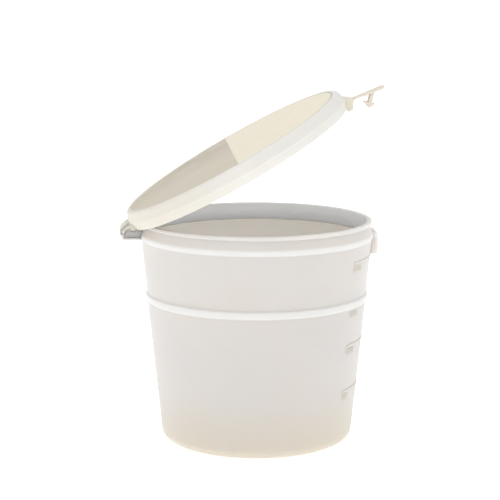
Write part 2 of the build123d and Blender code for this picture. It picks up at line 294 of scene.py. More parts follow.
# ---- Shader wiring ----


class Signal:
    """A node's output. Arithmetic on it adds Math nodes."""

    def __init__(self, graph: "Graph", socket: bpy.types.NodeSocket | None) -> None:
        """Keeps the graph and the output socket."""
        self.graph = graph
        self.socket = socket

    def _math(self, operation: str, first: object, second: object) -> "Signal":
        """Adds one Math node."""
        return self.graph.node("ShaderNodeMath", {"operation": operation}, {0: first, 1: second})

    def __add__(self, other: object) -> "Signal":
        """Sum."""
        return self._math("ADD", self, other)

    def __sub__(self, other: object) -> "Signal":
        """Difference."""
        return self._math("SUBTRACT", self, other)

    def __rsub__(self, other: object) -> "Signal":
        """Difference from a number."""
        return self._math("SUBTRACT", other, self)

    def __mul__(self, other: object) -> "Signal":
        """Product."""
        return self._math("MULTIPLY", self, other)

    __radd__ = __add__
    __rmul__ = __mul__


class Graph:
    """A material's node tree."""

    def __init__(self, name: str) -> None:
        """Makes an empty material."""
        self.material = bpy.data.materials.new(name)
        self.material.use_nodes = True
        self.tree = self.material.node_tree
        self.tree.nodes.clear()

    def node(self, kind: str, settings: dict[str, object] | None = None,
             inputs: dict[str | int, object] | None = None, output: str | int = 0) -> Signal:
        """Adds a node.

        Args:
            kind: The node's type.
            settings: Properties that are set first. "stops" holds a ramp's (place, colour) pairs.
            inputs: Values or signals for its sockets, by name or number.
            output: The output that is handed back.

        Returns:
            That output, or an empty signal from a node that has none.
        """
        made = self.tree.nodes.new(kind)
        for key, value in (settings or {}).items():
            if key == "stops":
                ramp = made.color_ramp
                for _ in range(len(value) - 2):
                    ramp.elements.new(0.5)
                for element, (place, colour) in zip(ramp.elements, value):
                    element.position = place
                    element.color = (*colour, 1)
            else:
                setattr(made, key, value)
        for key, value in (inputs or {}).items():
            if isinstance(value, Signal):
                self.tree.links.new(value.socket, made.inputs[key])
            else:
                made.inputs[key].default_value = value
        return Signal(self, made.outputs[output] if made.outputs else None)

    def place(self) -> Signal:
        """Object coordinates, in metres."""
        return self.node("ShaderNodeTexCoord", output="Object")

    def noise(self, place: Signal, size: float, detail: float = 2.0, stretch: Triple = (1, 1, 1)) -> Signal:
        """Soft noise from 0 to 1 whose blotches are about size metres across, stretched by axis."""
        scaled = self.node("ShaderNodeMapping", None, {"Vector": place, "Scale": stretch})
        inputs = {"Vector": scaled, "Scale": 1 / size, "Detail": detail, "Roughness": 0.55}
        return self.node("ShaderNodeTexNoise", None, inputs, "Fac")

    def ramp(self, value: Signal, low: float, high: float) -> Signal:
        """A smooth step from 0 at low to 1 at high."""
        inputs = {"Value": value, "From Min": low, "From Max": high}
        return self.node("ShaderNodeMapRange", {"interpolation_type": "SMOOTHSTEP"}, inputs)

    def blend(self, share: Signal | float, first: object, second: object) -> Signal:
        """A colour mix, from first at 0 to second at 1."""
        inputs = {0: share, 6: first, 7: second}
        return self.node("ShaderNodeMix", {"data_type": "RGBA"}, inputs, 2)

    def radius(self, place: Signal) -> Signal:
        """The distance from the Z axis."""
        flat = self.node("ShaderNodeVectorMath", {"operation": "MULTIPLY"}, {0: place, 1: (1, 1, 0)})
        return self.node("ShaderNodeVectorMath", {"operation": "LENGTH"}, {0: flat}, "Value")

    def bump(self, height: Signal, depth: float, below: Signal | None = None) -> Signal:
        """A bump of the given depth in metres, over another one if there is one."""
        inputs = {"Height": height, "Strength": 1.0, "Distance": depth}
        if below is not None:
            inputs["Normal"] = below
        return self.node("ShaderNodeBump", None, inputs)

    def finish(self, shader: Signal) -> bpy.types.Material:
        """Joins the shader to the material's output."""
        self.node("ShaderNodeOutputMaterial", None, {"Surface": shader})
        return self.material


def screen(red: int, green: int, blue: int) -> tuple[float, float, float, float]:
    """A display colour, 0 to 255, as a linear one."""
    share = np.array([red, green, blue]) / 255
    linear = np.where(share <= 0.04045, share / 12.92, ((share + 0.055) / 1.055) ** 2.4)
    return (*linear.tolist(), 1.0)


@dataclass(frozen=True)
class MouldedPlastic:
    """Natural polypropylene: clouded, lightly orange-peeled and a little rubbed."""

    name: str
    colour: Rgb
    cloud_colour: Rgb
    low_colour: Rgb
    low_heights: Span
    roughness: float
    rubbed_roughness: float
    glow: float
    glow_reach: float
    peel_size: float = 0.0011
    peel_depth: float = 0.00003
    wave_size: float = 0.03
    wave_depth: float = 0.00022
    cloud_size: float = 0.055
    rub_size: float = 0.02
    scuff_size: float = 0.0016
    scuff_share: float = 0.08
    mottle_size: float = 0.006
    mottle_share: float = 0.16
    low_share: float = 0.85
    low_drift: float = 0.016

    def tint(self, graph: Graph, place: Signal, cloud: Signal) -> Signal:
        """The colour: two clouded shades, and a warmer one towards the floor, which on the lid is painted shade
        towards its lower, hinge end.

        Args:
            graph: The material's nodes.
            place: Object coordinates.
            cloud: The soft noise that the roughness follows too.

        Returns:
            The colour.
        """
        height = graph.node("ShaderNodeSeparateXYZ", None, {"Vector": place}, "Z")
        mottle = graph.noise(place, self.mottle_size, 4.0, (1, 1, 0.4))
        # On the lid this low tone is painted shade, darker towards the open lid's lower, hinge end beside the
        # jar.
        lowness = 1 - graph.ramp(height + (cloud - 0.5) * self.low_drift, *self.low_heights)
        tint = graph.blend(graph.ramp(cloud, 0.32, 0.7), screen(*self.colour), screen(*self.cloud_colour))
        tint = graph.blend(lowness * self.low_share, tint, screen(*self.low_colour))
        return graph.blend(graph.ramp(mottle, 0.45, 0.85) * self.mottle_share, tint, screen(*self.cloud_colour))

    def material(self) -> bpy.types.Material:
        """Builds the material.

        Returns:
            A Principled material whose roughness follows rubbed patches and fine scuffs, and whose bump is a
            fine orange peel over long, shallow sink waves.
        """
        graph = Graph(self.name)
        place = graph.place()
        cloud = graph.noise(place, self.cloud_size, 3.0)
        scuffs = graph.noise(place, self.scuff_size, 2.0, (1, 1, 0.06)) * graph.ramp(cloud, 0.4, 0.75)
        rubbed = graph.ramp(graph.noise(place, self.rub_size, 4.0), 0.42, 0.68)
        shine = self.roughness + rubbed * (self.rubbed_roughness - self.roughness) + scuffs * self.scuff_share
        peel = graph.noise(place, self.peel_size, 2.0)
        wave = graph.noise(place, self.wave_size, 1.0)
        normal = graph.bump(peel, self.peel_depth, graph.bump(wave, self.wave_depth))
        shader = graph.node("ShaderNodeBsdfPrincipled", {"subsurface_method": "RANDOM_WALK"}, {
            "Base Color": self.tint(graph, place, cloud),
            "Roughness": shine,
            "Normal": normal,
            "IOR": 1.49,
            "Specular IOR Level": 0.45,
            "Subsurface Weight": self.glow,
            "Subsurface Radius": (1.0, 0.97, 0.9),
            "Subsurface Scale": self.glow_reach,
        })
        return graph.finish(shader)


@dataclass(frozen=True)
class JarPlastic(MouldedPlastic):
    """The jar's plastic, with painted highlights whitening the bead and rib bands and painted lighter, cooler
    light on the inner lip.
    """

    # Painted highlight: a whiter colour over the bead and rib bands, for the light their upward-facing rounds
    # catch from above.
    highlight_band_colour: Rgb = (232, 231, 228)
    highlight_bands: tuple[Span, ...] = ()
    highlight_band_share: float = 0.9
    # Painted light: a lighter, cooler colour on the inner lip and ledge, inside lip_radius and above lip_height.
    inner_lip_light_colour: Rgb = (226, 229, 234)
    inner_lip_light_share: float = 0.9
    lip_radius: float = 0.0772
    lip_height: float = 0.1424
    fade: float = 0.0004

    def tint(self, graph: Graph, place: Signal, cloud: Signal) -> Signal:
        """The moulded colour, with a painted highlight whitening it by how near a height is to a bead or rib
        band's middle, and painted lighter, cooler light on the inner lip.

        Args:
            graph: The material's nodes.
            place: Object coordinates.
            cloud: The soft noise that the roughness follows too.

        Returns:
            The colour.
        """
        tint = MouldedPlastic.tint(self, graph, place, cloud)
        height = graph.node("ShaderNodeSeparateXYZ", None, {"Vector": place}, "Z")
        # Painted highlight, whitest at each band's middle height.
        for middle, half in self.highlight_bands:
            away = graph.node("ShaderNodeMath", {"operation": "ABSOLUTE"}, {0: height - middle})
            near = 1 - graph.ramp(away, half * 0.5, half)
            tint = graph.blend(near * self.highlight_band_share, tint, screen(*self.highlight_band_colour))
        # Painted light on the inner lip and ledge.
        inner = 1 - graph.ramp(graph.radius(place), self.lip_radius, self.lip_radius + self.fade)
        inner = inner * graph.ramp(height, self.lip_height - self.fade, self.lip_height)
        return graph.blend(inner * self.inner_lip_light_share, tint, screen(*self.inner_lip_light_colour))


@dataclass(frozen=True)
class LidPlastic(MouldedPlastic):
    """The lid's plastic: white on the rim and skirt, with painted shade in the groove and towards the open lid's
    lower, hinge end, and a painted creamier tone over the flat face.
    """

    # Painted tone: the flat face is the same plastic as the rim, coloured creamier to stand in for how light
    # falls on the top.
    painted_face_tone_colour: Rgb = (238, 229, 208)
    # Painted shade: a darker colour in the groove round the face.
    groove_shade_colour: Rgb = (196, 188, 172)
    groove_shade_share: float = 0.8
    face_radius: float = 0.0784
    groove_radius: float = 0.0796
    face_height: float = 0.1546
    fade: float = 0.0004
    pivot: Span = (0.0, 0.0)
    opening: float = 0.0

    def tint(self, graph: Graph, place: Signal, cloud: Signal) -> Signal:
        """The moulded colour, with painted shade in the groove and the painted face tone where the closed lid's
        radius and height say that it is the face.

        Args:
            graph: The material's nodes.
            place: Object coordinates, which a Mapping node turns back to the closed pose.
            cloud: The soft noise that the roughness follows too.

        Returns:
            The colour.
        """
        back = Matrix.Rotation(math.radians(self.opening), 3, "Y")
        pivot = Vector((self.pivot[0], 0, self.pivot[1]))
        closed = graph.node("ShaderNodeMapping", None, {
            "Vector": place, "Location": pivot - back @ pivot, "Rotation": (0, math.radians(self.opening), 0),
        })
        height = graph.node("ShaderNodeSeparateXYZ", None, {"Vector": closed}, "Z")
        radius = graph.radius(closed)
        upper = graph.ramp(height, self.face_height, self.face_height + self.fade)
        face = (1 - graph.ramp(radius, self.face_radius, self.face_radius + self.fade)) * upper
        # Painted shade in the groove round the face.
        groove = (1 - graph.ramp(radius, self.groove_radius, self.groove_radius + self.fade)) * upper
        tint = MouldedPlastic.tint(self, graph, place, cloud)
        tint = graph.blend(groove * self.groove_shade_share, tint, screen(*self.groove_shade_colour))
        # Painted tone over the flat face.
        return graph.blend(face, tint, screen(*self.painted_face_tone_colour))


@dataclass(frozen=True)
class MattPanel:
    """The stippled half disc that takes a pencil mark."""

    name: str
    colour: Rgb
    worn_colour: Rgb
    # Painted shade: the colour the panel darkens to towards its far, +Y edge.
    far_shade_colour: Rgb
    stipple: float
    stipple_depth: float = 0.00008
    roughness: float = 0.78
    worn_size: float = 0.03
    worn_share: float = 0.7
    worn_polish: float = 0.12
    grain_share: float = 0.12
    # The +Y span over which the painted shade darkens the panel.
    back: Span = (-0.03, 0.075)

    def material(self) -> bpy.types.Material:
        """Builds the material.

        Returns:
            A rough Principled material with a stippled bump, rubbed, slightly lighter patches, and painted shade
            darkening it towards its far, +Y edge.
        """
        graph = Graph(self.name)
        place = graph.place()
        worn = graph.ramp(graph.noise(place, self.worn_size, 4.0), 0.4, 0.75)
        grain = graph.noise(place, self.stipple, 3.0)
        pits = graph.node("ShaderNodeTexVoronoi", {"feature": "F1"},
                          {"Vector": place, "Scale": 1 / self.stipple}, "Distance")
        depth = graph.node("ShaderNodeSeparateXYZ", None, {"Vector": place}, "Y")
        # Painted shade, darker towards the panel's far, +Y edge.
        tint = graph.blend(graph.ramp(depth, *self.back), screen(*self.colour), screen(*self.far_shade_colour))
        tint = graph.blend(worn * self.worn_share, tint, screen(*self.worn_colour))
        tint = graph.blend(graph.ramp(grain, 0.3, 0.7) * self.grain_share, tint, screen(*self.worn_colour))
        normal = graph.bump(pits + grain * 0.5, self.stipple_depth)
        shader = graph.node("ShaderNodeBsdfPrincipled", None, {
            "Base Color": tint,
            "Roughness": self.roughness - worn * self.worn_polish,
            "Normal": normal,
            "Specular IOR Level": 0.3,
        })
        return graph.finish(shader)


# ---- The object ----


class Finishes:
    """Every finish of the jar, made once."""

    def __init__(self, pivot: Span, opening: float) -> None:
        """Builds the materials.

        Args:
            pivot: The lid hinge's x and z, in metres.
            opening: How far the lid stands open, in degrees.
        """
        foot, none = (0.0, 0.05), (-1.0, -0.9)
        # The jar's highlight_bands paint highlights on the rib at 100.9 mm and the bead at 143 mm.
        jar = JarPlastic(
            name="natural_jar_plastic", colour=(217, 213, 209), cloud_colour=(221, 213, 206),
            low_colour=(219, 207, 189), low_heights=foot, roughness=0.36, rubbed_roughness=0.46,
            glow=1.0, glow_reach=0.009, highlight_bands=((0.1009, 0.0032), (0.143, 0.0026)))
        thin = MouldedPlastic(
            name="thin_jar_plastic", colour=(222, 216, 206), cloud_colour=(225, 218, 206),
            low_colour=(222, 210, 190), low_heights=foot, roughness=0.45, rubbed_roughness=0.5,
            glow=0.0, glow_reach=0.001)
        # The lid's low_colour over low_heights paints shade towards its lower, hinge end.
        lid = LidPlastic(
            name="cream_lid_plastic", colour=(229, 227, 222), cloud_colour=(232, 230, 224),
            low_colour=(219, 212, 198), low_heights=(0.146, 0.2), roughness=0.38, rubbed_roughness=0.5,
            glow=0.5, glow_reach=0.003, pivot=pivot, opening=opening)
        clasp = MouldedPlastic(
            name="creamy_clasp_plastic", colour=(226, 218, 202), cloud_colour=(232, 224, 208),
            low_colour=(226, 218, 202), low_heights=none, roughness=0.4, rubbed_roughness=0.5,
            glow=0.15, glow_reach=0.001)
        hinge = MouldedPlastic(
            name="whitened_hinge_plastic", colour=(236, 231, 220), cloud_colour=(230, 225, 214),
            low_colour=(236, 231, 220), low_heights=none, roughness=0.5, rubbed_roughness=0.6,
            glow=0.0, glow_reach=0.001)
        panel = MattPanel(
            name="matt_writing_panel", colour=(212, 204, 188), worn_colour=(214, 206, 191),
            far_shade_colour=(196, 188, 172), stipple=0.0007)
        finishes = {"jar": jar, "thin": thin, "lid": lid, "clasp": clasp, "hinge": hinge, "panel": panel}
        self.made = {name: finish.material() for name, finish in finishes.items()}


@dataclass
class Dresser:
    """Gives a piece its finish, its body and the CAD nodes it stands for."""

    finishes: Finishes

    def dress(self, thing: bpy.types.Object, finish: str, body: Body, slot: Slot, *nodes: str) -> None:
        """Dresses a new piece.

        Args:
            thing: The piece.
            finish: The name of its finish.
            body: What it rides on.
            slot: The record's material slot; not used.
            *nodes: The CAD nodes it replaces.
        """
        thing.data.materials.append(self.finishes.made[finish])
        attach(thing, body.value)
        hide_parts(*nodes)
        log.info("%s rides on %s for %s", thing.name, body.value, ", ".join(nodes))

    def repaint(self, node: str, finish: str) -> None:
        """Gives a kept CAD node its finish."""
        mesh = frame["nodes"][node].data
        mesh.materials.clear()
        mesh.materials.append(self.finishes.made[finish])
        log.info("%s keeps its shape and takes %s", node, finish)


@dataclass
class Tub:
    """The jar below the lid, in millimetres from the middle of its foot."""

    height: float
    lip_radius: float = 80.0
    lip_depth: float = 2.9
    lip_width: float = 3.4
    lip_round: float = 0.9
    neck_inset: float = 1.6
    wall: float = 2.1
    floor: float = 2.2
    draft: float = 5.75
    base_corner: float = 6.5
    recess_radius: float = 40.0
    recess_depth: float = 3.8
    recess_slope: float = 1.0
    foot_round: float = 0.8
    shoulder_proud: float = 0.3
    bead_drop: float = 11.0
    bead_height: float = 4.6
    bead_flat: float = 0.92
    bead_proud: float = 0.6
    ledge_drop: float = 11.5
    ledge_proud: float = 0.6
    ledge_cove: float = 5.0
    ledge_slope: float = 1.2
    rib_height: float = 100.9
    rib_width: float = 6.0
    rib_flat: float = 1.76
    rib_proud: float = 0.8
    rib_step: float = 0.5
    bead_round: float = 0.7

    def wall_radius(self, z: float, below_rib: bool) -> float:
        """The wall's outside radius: the shoulder's less the draft's slope times the drop, stepped at the rib."""
        shoulder = self.lip_radius + self.shoulder_proud
        drop = self.height - self.bead_drop - z
        return shoulder - math.tan(math.radians(self.draft)) * drop + (self.rib_step if below_rib else 0)

    def profile(self) -> np.ndarray:
        """The outline from the recess's middle round the foot, up the wall, over the lip and down inside."""
        bead = self.height - self.bead_drop
        bead_low = bead - self.bead_height / 2
        bead_radius = self.lip_radius + self.shoulder_proud + self.bead_proud
        rib_low, rib_high = self.rib_height - self.rib_width / 2, self.rib_height + self.rib_width / 2
        rib_radius = self.wall_radius(self.rib_height, True) + self.rib_proud
        neck = self.lip_radius - self.neck_inset
        under_lip = self.height - self.lip_depth
        mouth = self.lip_radius - self.lip_width
        ledge = self.height - self.ledge_drop
        under_ledge = ledge - self.ledge_slope
        inner_floor = self.recess_depth + self.floor
        step = self.recess_slope
        half_lip = self.lip_round / 2
        return rounded_chain([
            (0, self.recess_depth, 0),
            (self.recess_radius - step, self.recess_depth, self.foot_round),
            (self.recess_radius, 0, self.foot_round),
            (self.wall_radius(0, True), 0, self.base_corner),
            (self.wall_radius(rib_low, True), rib_low, self.bead_round),
            (rib_radius, self.rib_height - self.rib_flat, self.bead_round),
            (rib_radius, self.rib_height + self.rib_flat, self.bead_round),
            (self.wall_radius(rib_high, False), rib_high, self.bead_round),
            (self.wall_radius(bead_low, False), bead_low, self.bead_round),
            (bead_radius, bead - self.bead_flat, self.bead_round),
            (bead_radius, bead + self.bead_flat, self.bead_round),
            (neck, under_lip, half_lip),
            (self.lip_radius, under_lip + half_lip, half_lip),
            (self.lip_radius, self.height, self.lip_round),
            (mouth, self.height, self.lip_round),
            (mouth, ledge + self.ledge_cove, self.ledge_cove),
            (mouth - self.ledge_proud, ledge, half_lip),
            (self.wall_radius(under_ledge, False) - self.wall, under_ledge, half_lip),
            (self.wall_radius(rib_high, False) - self.wall, rib_high, self.wall),
            (self.wall_radius(rib_low, True) - self.wall, rib_low, self.wall),
            (self.wall_radius(self.floor, True) - self.wall, self.floor, self.base_corner - self.wall),
            (self.recess_radius + 2 * step, self.floor, step),
            (self.recess_radius + step, inner_floor, step),
            (0, inner_floor, 0),
        ])

    def build(self, dresser: Dresser) -> None:
        """Makes the tub as one turned surface and repaints its raised marks."""
        tub = Piece("jar_tub").add(turned(self.profile())).build()
        dresser.dress(tub, "jar", Body.JAR, Slot.JAR, "jar_body")
        dresser.repaint("graduation_bars", "thin")
        dresser.repaint("graduation_numerals", "thin")


@dataclass
class CatchLoop:
    """The loop on the jar's shoulder that the clasp's barb swings into."""

    low: float
    high: float
    face: float
    root: float = 77.7
    width: float = 16.0
    bar: float = 1.7
    window_top: float = 4.0
    window_width: float = 10.4
    chamfer: float = 1.6
    edge: float = 0.45
    corner: float = 1.0
    window_corner: float = 0.8

    def loop(self, width: float, low: float, high: float, corner: float) -> np.ndarray:
        """A rounded rectangle in the YZ plane, as (points, 2)."""
        across, up = section(np.array([width]), np.array([high - low]), corner)
        return np.stack([across[0], up[0] + (low + high) / 2], 1)

    def build(self, dresser: Dresser) -> None:
        """Makes the loop: rings from the root out, over its rounded face and back along the window."""
        sink = np.linspace(0, math.pi / 2, END_ROWS)
        outward = self.face - self.edge + self.edge * np.sin(sink)
        shrink = self.edge * (1 - np.cos(sink))
        window_low, window_high = self.low + self.bar, self.high - self.window_top
        rings = [(self.root, 0.0, True), *zip(outward, shrink, [True] * END_ROWS)]
        rings += zip(outward[::-1], shrink[::-1], [False] * END_ROWS)
        rings += [(self.root, 0.0, False), (self.root, 0.0, True)]
        grid = []
        for x, inset, outer in rings:
            if outer:
                ring = self.loop(self.width - 2 * inset, self.low + inset, self.high - inset, self.corner)
            else:
                ring = self.loop(self.window_width + 2 * inset, window_low - inset, window_high + inset,
                                 self.window_corner)
            limit = self.face - np.maximum(0, ring[:, 1] - (self.high - self.chamfer))
            grid.append(np.stack([np.minimum(x, limit), ring[:, 0], ring[:, 1]], 1))
        made = Piece("catch_loop_frame").add(np.array(grid)).build()
        dresser.dress(made, "jar", Body.JAR, Slot.JAR, "catch_loop")


@dataclass
class Straps:
    """The two straps that meet at the lid's living hinge. Places are (x, z) from the hinge line.

    A path's third number is its corner's radius.
    """

    pivot: Span
    width: float = 22.0
    thickness: float = 1.6
    edge: float = 0.4
    end: float = 0.3
    jar_path: tuple[Triple, ...] = ((15.6, -3.4, 0), (1.75, -3.4, 0.9), (0.72, -0.75, 0))
    lid_path: tuple[Triple, ...] = ((11.9, 3.4, 0), (5.85, 3.4, 1.5), (2.35, 2.5, 1.5), (0.25, 0.95, 0))
    jar_tip: float = 0.75
    lid_tip: float = 1.1
    jar_upper: tuple[Span, ...] = ((2.6, 0.6), (3.4, 1.5), (6.4, 2.1), (16.2, 2.1))
    jar_lower: tuple[Span, ...] = ((2.6, -3.4), (16.2, -3.4))
    lid_upper: tuple[Span, ...] = ((1.2, 1.7), (2.6, 3.2), (5.6, 4.0), (11.6, 4.0))
    lid_lower: tuple[Span, ...] = ((1.2, 0.8), (8.0, 0.8), (9.2, -2.1), (11.6, -2.1))
    stations: int = 32
    cheek: float = 1.2
    cheek_gap: float = 0.3

    def strap(self, corners: Sequence[Triple], tip: float) -> np.ndarray:
        """A strap along a rounded path, thinning from its bend to tip at the hinge.

        Args:
            corners: Its path from the root to the hinge, with each corner's radius.
            tip: Its thickness at the hinge.

        Returns:
            The strap's grid, in the closed pose.
        """
        path = rounded_chain(corners, 1.0) + np.array(self.pivot)
        left = np.linalg.norm(path - path[-1], axis=1)
        thickness = np.interp(left, [0, 2 * self.thickness], [tip, self.thickness])
        return bar(path, np.full(len(path), self.width), thickness, self.edge, self.end)

    def gusset(self, upper: Sequence[Span], lower: Sequence[Span], across: float) -> np.ndarray:
        """An upright web: at each station along X it fills the height between a lower and an upper line.

        The web is a bar along X whose thickness is the distance between the lines, and each of its sections
        is then moved up to the mean of the two.

        Args:
            upper: (x, z) points of its upper edge, from the hinge outwards.
            lower: (x, z) points of its lower edge.
            across: The middle of its thickness along Y.

        Returns:
            The web's grid, in the closed pose.
        """
        top, foot = np.array(upper), np.array(lower)
        x = np.linspace(top[0, 0], top[-1, 0], self.stations)
        high, low = np.interp(x, top[:, 0], top[:, 1]), np.interp(x, foot[:, 0], foot[:, 1])
        level = np.stack([x, 0 * x], 1) + np.array(self.pivot)
        web = bar(level, np.full_like(x, self.cheek), high - low, self.edge, self.end)
        rise = np.pad((high + low) / 2, END_ROWS, "edge")
        return web + np.stack([0 * rise, across + 0 * rise, rise], 1)[:, None]

    def build(self, dresser: Dresser, opening: Turn) -> None:
        """Makes both straps, with a web at each end, and repaints the film between them."""
        outside = (self.width - self.cheek) / 2
        inside = outside - self.cheek - self.cheek_gap
        jar = Piece("jar_strap").add(self.strap(self.jar_path, self.jar_tip))
        lid = Piece("lid_strap").add(self.strap(self.lid_path, self.lid_tip))
        for side in (1, -1):
            jar.add(self.gusset(self.jar_upper, self.jar_lower, side * inside))
            lid.add(self.gusset(self.lid_upper, self.lid_lower, side * outside))
        dresser.dress(jar.build(), "jar", Body.JAR, Slot.JAR, "jar_hinge_strap")
        dresser.dress(lid.moved(opening).build(), "lid", Body.LID, Slot.LID, "lid_hinge_strap")
        dresser.repaint("hinge_film", "hinge")


@dataclass
class Lid:
    """The lid as it lies closed on the jar, in millimetres."""

    jar_height: float
    lip_radius: float = 80.0
    seat: float = 0.3
    plate: float = 2.2
    corner: float = 2.6
    skirt_gap: float = 1.5
    skirt_wall: float = 1.7
    skirt_drop: float = 10.8
    skirt_flare: float = 0.5
    flange_drop: float = 4.4
    flange_width: float = 1.4
    flange_reach: float = 2.39
    flange_step: float = 0.6
    flange_round: float = 0.35
    flange_root: float = 0.1
    skirt_round: float = 0.4
    ceiling_round: float = 0.6
    longest: float = 3.0
    snap_gap: float = 0.35
    snap_drop: float = 3.3
    snap_width: float = 1.4
    snap_rounds: Span = (0.2, 0.3)
    snap_crest: Span = (0.3, 0.5)
    groove: float = 0.6
    groove_width: float = 1.2
    groove_sides: Span = (0.3, 0.7)
    groove_rounds: Triple = (0.12, 0.15, 0.2)
    rim_inset: float = 3.4
    recess: float = 0.8
    recess_margin: float = 0.3
    bevel: float = 1.6
    panel_thickness: float = 0.4
    panel_gap: float = 0.3
    panel_round: float = 0.12
    panel_end: float = 0.1
    brink_drop: float = 0.12
    brink_reach: float = 1.0006
    disc_rows: int = 33
    plug_gap: float = 0.6
    plug_taper: float = 1.0
    plug_wall: float = 1.4
    plug_depth: float = 2.2
    plug_lean: float = 0.3
    plug_round: float = 0.25
    mouth_radius: float = 76.6
    notch_width: float = 17.3
    notch_drop: float = 7.5
    hinge_notch_width: float = 20.6
    hinge_notch_drop: float = 6.1

    def __post_init__(self) -> None:
        """Works out the places that several methods share."""
        self.under = self.jar_height + self.seat
        self.top = self.under + self.plate
        self.inner = self.lip_radius + self.skirt_gap
        self.outer = self.inner + self.skirt_wall
        self.rim = self.outer - self.rim_inset
        self.panel_radius = self.rim - self.groove_width - self.recess_margin

    def face_height(self, x: np.ndarray) -> np.ndarray:
        """The top's height: sunk on the hinge side, rising over the bevel to full height on the clasp side."""
        return self.top - self.recess * (1 - np.clip(x / self.bevel, 0, 1))

    def rim_profile(self) -> np.ndarray:
        """The outline from the panel's edge over the groove and rounded rim, down the skirt and back inside."""
        flange = self.outer + self.flange_reach
        flange_high = self.jar_height - self.flange_drop
        flange_low = flange_high - self.flange_width
        bottom = self.jar_height - self.skirt_drop
        snap = self.lip_radius + self.snap_gap
        snap_high = self.jar_height - self.snap_drop
        flare = self.outer + self.skirt_flare
        flange_round = self.flange_width * self.flange_round
        near, far = self.groove_sides
        inner_brink, floor_round, outer_brink = self.groove_rounds
        root_round, crest_round = self.snap_rounds
        crest_high, crest_low = self.snap_crest
        return rounded_chain([
            (self.panel_radius + self.recess_margin / 3, self.top, 0),
            (self.rim - self.groove_width, self.top, inner_brink),
            (self.rim - self.groove_width * far, self.top - self.groove, floor_round),
            (self.rim - self.groove_width * near, self.top - self.groove, floor_round),
            (self.rim, self.top, outer_brink),
            (self.outer, self.top, self.corner),
            (flange, flange_high, flange_round),
            (flange, flange_low, flange_round),
            (flange - self.flange_step, flange_low, self.flange_root),
            (flare, bottom, self.skirt_round),
            (self.inner, bottom, self.skirt_round),
            (self.inner, snap_high - self.snap_width, root_round),
            (snap, snap_high - self.snap_width * crest_low, crest_round),
            (snap, snap_high - self.snap_width * crest_high, crest_round),
            (self.inner, snap_high, root_round),
            (self.inner, self.under, self.ceiling_round),
            (self.panel_radius, self.under, 0),
        ], self.longest)[::-1]

    def notched(self, grid: np.ndarray) -> np.ndarray:
        """Lifts the skirt's edge at clasp and hinge: heights below the flange are squeezed to the notch."""
        flange_low = self.jar_height - self.flange_drop - self.flange_width
        bottom = self.jar_height - self.skirt_drop
        share = np.clip((flange_low - grid[..., 2]) / (flange_low - bottom), 0, 1)
        at_clasp = (np.abs(grid[..., 1]) < self.notch_width / 2) & (grid[..., 0] > 0)
        at_hinge = (np.abs(grid[..., 1]) < self.hinge_notch_width / 2) & (grid[..., 0] < 0)
        drop = np.select([at_clasp, at_hinge], [self.notch_drop, self.hinge_notch_drop], self.skirt_drop)
        lift = (self.skirt_drop - drop) * share
        return grid + lift[..., None] * np.array([0, 0, 1])

    def shell(self) -> Piece:
        """The lid's shell: the turned rim, the sunk and bevelled top, and the flat underside."""
        rim = self.notched(turned(self.rim_profile()))
        angle = np.linspace(0, 2 * math.pi, AROUND + 1)
        x, y = self.panel_radius * np.cos(angle), self.panel_radius * np.sin(angle)
        edge = np.stack([x, y, self.face_height(x)], 1)
        lip = np.stack([x, y, np.maximum(self.face_height(x), self.top - self.brink_drop)], 1)
        lip = lip * [self.brink_reach, self.brink_reach, 1]
        disc_x, disc_y = chords(self.panel_radius, self.disc_rows)
        top = np.stack([disc_x, disc_y, self.face_height(disc_x)], 2)
        under = np.stack([disc_x, disc_y, np.full_like(disc_x, self.under)], 2)
        wall = np.stack([rim[-1], lip, edge])
        return Piece("lid_cover").add(rim, True).add(wall, True).add(top, True).add(under)

    def panel(self) -> Piece:
        """The writing panel: chords of a disc up to the bevel, its thickness rounded at the edge."""
        radius = self.panel_radius - self.panel_gap
        angle = np.linspace(math.pi, math.pi / 2 + self.panel_gap / radius, AROUND // 4)
        path = np.stack([radius * np.cos(angle), np.full_like(angle, self.top - self.recess)], 1)
        path[:, 1] += self.panel_thickness / 2
        width = np.maximum(2 * radius * np.sin(angle), self.panel_thickness)
        thickness = np.full_like(width, self.panel_thickness)
        return Piece("lid_writing_panel").add(bar(path, width, thickness, self.panel_round, self.panel_end))

    def plug(self) -> Piece:
        """The shallow tapered ring that centres the lid in the mouth."""
        outer = self.mouth_radius - self.plug_gap
        bottom = self.jar_height - self.plug_depth
        root = outer - self.plug_wall - self.plug_taper * self.plug_lean
        corner = self.plug_wall * self.plug_round
        outline = rounded_chain([
            (root, self.under, 0), (root, bottom, corner), (outer - self.plug_taper, bottom, corner),
            (outer, self.under, 0), (root, self.under, 0),
        ], 1.5)
        return Piece("lid_plug").add(turned(outline))

    def build(self, dresser: Dresser, opening: Turn) -> None:
        """Makes the lid's pieces in their open pose."""
        dresser.dress(self.shell().moved(opening).build(), "lid", Body.LID, Slot.LID, "lid_plate", "lid_skirt")
        dresser.dress(self.panel().moved(opening).build(), "panel", Body.LID, Slot.PANEL, "writing_panel")
        dresser.dress(self.plug().moved(opening).build(), "lid", Body.LID, Slot.LID, "plug_ring")
        dresser.repaint("clasp_hood", "clasp")
        dresser.repaint("clasp_film", "hinge")


